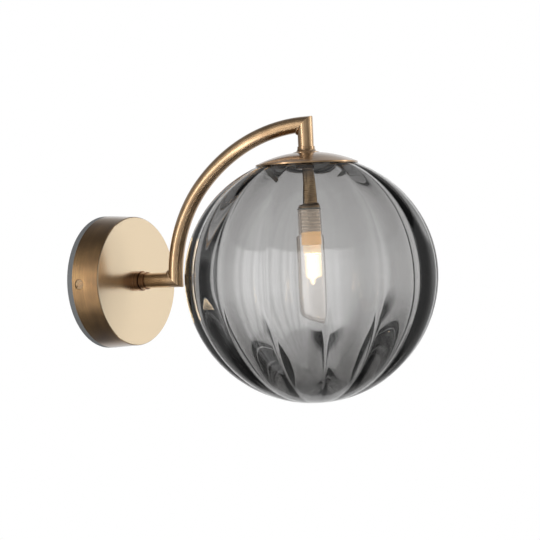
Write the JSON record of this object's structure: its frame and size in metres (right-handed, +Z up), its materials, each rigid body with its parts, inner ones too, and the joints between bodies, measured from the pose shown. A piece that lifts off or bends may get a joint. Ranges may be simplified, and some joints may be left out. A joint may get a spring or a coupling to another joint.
{
  "type": "globe wall sconce",
  "caption": "Wall sconce with a round canopy, a curved brass arm and a hanging ribbed smoked-glass globe around a clear tube over a pin-base bulb.",
  "frame": {"origin": "centre of the wall plate's back face, on the wall", "axes": "+Y into the wall, the light stands out towards -Y, +Z up, +X across"},
  "size_m": [0.1998, 0.2995, 0.2253],
  "materials": {
    "plate_plastic": "satin moulded",
    "brushed_brass": "brushed and lacquered",
    "brass_hardware": "turned",
    "zinc_steel": "zinc plated",
    "terminal_nylon": "moulded",
    "wire_cover": "extruded",
    "smoked_glass": "mould-blown, smoke grey",
    "clear_glass": "clear",
    "silicone": "moulded",
    "ceramic": "glazed ceramic"
  },
  "bodies": {
    "fixture": {"wall_plate": "plate_plastic", "canopy": "brushed_brass", "canopy_screws": "brass_hardware", "terminal_block": "terminal_nylon", "terminal_tubes": "brass_hardware", "terminal_screws": "zinc_steel", "earth_tag": "brass_hardware", "earth_wire": "wire_cover", "live_wire": "wire_cover", "neutral_wire": "wire_cover", "arm_nipple": "zinc_steel", "arm_washer": "zinc_steel", "arm_locknut": "brass_hardware", "arm_collar": "brushed_brass", "arm_tube": "brushed_brass", "arc_tube": "brushed_brass", "drop_tube": "brushed_brass", "cap_collar": "brushed_brass", "dome_cap": "brushed_brass", "cap_nut": "brass_hardware", "globe_gallery": "zinc_steel", "gallery_nut": "brass_hardware", "gallery_springs": "zinc_steel", "inner_stem": "brass_hardware", "lampholder_cap": "brass_hardware", "lampholder_sleeve": "brass_hardware", "lampholder_ceramic": "ceramic", "lampholder_contacts": "zinc_steel"},
    "globe_glass": {"globe": "smoked_glass", "globe_gasket": "silicone"},
    "seal_ring": {"cover_seal": "silicone"},
    "cover": {"bulb_cover": "clear_glass"},
    "bulb": {"bulb_base": "ceramic", "bulb_pins": "zinc_steel", "bulb_capsule": "clear_glass", "bulb_filament": "zinc_steel"}
  },
  "joints": [
    {"name": "globe_lower", "type": "slide", "parent": "fixture", "child": "globe_glass", "axis": [0, 0, -1], "range_m": [0, 0.15], "deforming": ["gallery_springs"]},
    {"name": "cover_travel", "type": "slide", "parent": "fixture", "child": "seal_ring", "axis": [0, 0, -1], "range_m": [0, 0.0189]},
    {"name": "cover_unscrew", "type": "hinge", "parent": "seal_ring", "child": "cover", "pos_m": [0, -0.20048, 0], "axis": [0, 0, -1], "range_deg": [0, 2520]},
    {"name": "bulb_pull", "type": "slide", "parent": "fixture", "child": "bulb", "axis": [0, 0, -1], "range_m": [0, 0.012]}
  ],
  "couplings": [
    {"joint": "cover_unscrew", "follows": "cover_travel", "rad_per_m": 2327.1}
  ]
}
